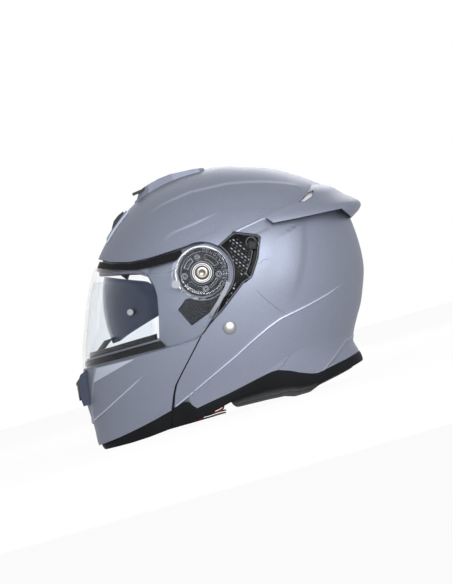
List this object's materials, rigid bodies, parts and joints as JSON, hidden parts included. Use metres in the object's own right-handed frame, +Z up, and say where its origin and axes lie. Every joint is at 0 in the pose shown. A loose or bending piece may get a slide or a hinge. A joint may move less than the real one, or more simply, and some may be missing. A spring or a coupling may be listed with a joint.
{
  "type": "modular motorcycle helmet",
  "caption": "Full-face helmet whose chin bar and clear visor flip up on side pivots, with a retractable smoked sun visor, vents and padded liner.",
  "frame": {"origin": "centre of the footprint, on the plane that the helmet stands on", "axes": "-X out of the face, -Y the wearer's left side, +Z up through the crown"},
  "size_m": [0.3436, 0.2492, 0.2611],
  "materials": {
    "paint": "satin metallic paint",
    "trim": "matte",
    "foam": "bead foam",
    "lining": "brushed knit",
    "neck_cloth": "coarse knit",
    "vent_black": "matte",
    "gloss_black": "gloss, textured",
    "seal": "matte",
    "light_grille": "matte",
    "dark_steel": "darkened",
    "steel": "brushed",
    "chrome": "polished",
    "webbing": "woven",
    "red_webbing": "woven",
    "red_plastic": "matte",
    "mechanism": "satin",
    "bright_ring": "satin",
    "smoke": "smoked",
    "clear": "clear",
    "clear_film": "clear"
  },
  "bodies": {
    "shell": {"outer_shell": "paint", "shell_edge_trim": "trim", "eps_liner": "foam", "crown_liner": "lining", "cheek_pad_left": "lining", "cheek_pad_right": "lining", "neck_roll": "neck_cloth", "top_vent_housing": "vent_black", "brow_vent_frame": "vent_black", "eyeport_seal_upper": "seal", "side_panel_left": "gloss_black", "side_panel_right": "gloss_black", "rear_spoiler": "paint", "exhaust_grilles": "light_grille", "pivot_pins": "dark_steel", "strap_rivets": "chrome", "chin_strap_left": "webbing", "chin_strap_right": "webbing", "buckle_body": "vent_black", "sun_visor_brackets": "mechanism", "latch_strikers": "steel", "pull_tabs": "red_webbing"},
    "sun_visor": {"sun_visor": "smoke"},
    "sun_visor_slider": {"sun_visor_slider": "vent_black"},
    "top_vent_slider": {"top_vent_slider": "vent_black"},
    "brow_vent_button": {"brow_vent_button": "vent_black"},
    "buckle_lever": {"buckle_lever": "red_plastic"},
    "chin_bar": {"chin_bar_shell": "paint", "chin_bar_trim": "trim", "chin_bar_liner": "foam", "eyeport_seal_lower": "seal", "chin_bar_cap": "vent_black", "breath_deflector": "seal", "chin_curtain": "neck_cloth", "chin_vent_cover": "vent_black", "arm_cover_left": "mechanism", "arm_cover_right": "mechanism", "ratchet_plates": "mechanism", "latch_pins": "steel", "release_housing": "vent_black"},
    "chin_vent_slider": {"chin_vent_slider": "vent_black"},
    "release_button": {"release_button": "red_plastic"},
    "latch_hook_left": {"latch_hook_left": "steel"},
    "latch_hook_right": {"latch_hook_right": "steel"},
    "visor": {"visor_lens": "clear", "hub_rings": "bright_ring", "anti_fog_insert": "clear_film", "insert_pins": "seal", "visor_studs": "bright_ring"}
  },
  "joints": [
    {"name": "chin_bar_hinge", "type": "hinge", "parent": "shell", "child": "chin_bar", "pos_m": [-0.0106, 0, 0.15112], "axis": [0, 1, 0], "range_deg": [0, 60]},
    {"name": "visor_hinge", "type": "hinge", "parent": "chin_bar", "child": "visor", "pos_m": [-0.0106, 0, 0.15112], "axis": [0, 1, 0], "range_deg": [0, 30]},
    {"name": "sun_visor_hinge", "type": "hinge", "parent": "shell", "child": "sun_visor", "pos_m": [-0.00103, 0, 0.124], "axis": [0, 1, 0], "range_deg": [0, 40]},
    {"name": "sun_visor_slide", "type": "slide", "parent": "shell", "child": "sun_visor_slider", "axis": [-0.2997, -0.1576, -0.9409], "range_m": [0, 0.02704]},
    {"name": "top_vent_slide", "type": "slide", "parent": "shell", "child": "top_vent_slider", "axis": [0.9925, 0, 0.1225], "range_m": [0, 0.006]},
    {"name": "brow_vent_slide", "type": "slide", "parent": "shell", "child": "brow_vent_button", "axis": [0.8211, 0, 0.5708], "range_m": [0, 0.0045]},
    {"name": "buckle_lever_hinge", "type": "hinge", "parent": "shell", "child": "buckle_lever", "pos_m": [0.00137, -0.02505, 0.00913], "axis": [-1, 0, 0], "range_deg": [0, 45]},
    {"name": "release_button_slide", "type": "slide", "parent": "chin_bar", "child": "release_button", "axis": [0, 0, 1], "range_m": [0, 0.004], "stiffness_N_per_m": 300},
    {"name": "latch_hook_left_hinge", "type": "hinge", "parent": "chin_bar", "child": "latch_hook_left", "pos_m": [-0.09986, -0.07, 0.03598], "axis": [0, -1, 0], "range_deg": [0, 10]},
    {"name": "latch_hook_right_hinge", "type": "hinge", "parent": "chin_bar", "child": "latch_hook_right", "pos_m": [-0.09986, 0.07, 0.03598], "axis": [0, -1, 0], "range_deg": [0, 10]},
    {"name": "chin_vent_slide", "type": "slide", "parent": "chin_bar", "child": "chin_vent_slider", "axis": [0, 0, 1], "range_m": [0, 0.005]}
  ],
  "couplings": [
    {"joint": "sun_visor_slide", "follows": "sun_visor_hinge", "m_per_rad": 0.03873},
    {"joint": "latch_hook_left_hinge", "follows": "release_button_slide", "rad_per_m": 43.6},
    {"joint": "latch_hook_right_hinge", "follows": "release_button_slide", "rad_per_m": 43.6}
  ]
}
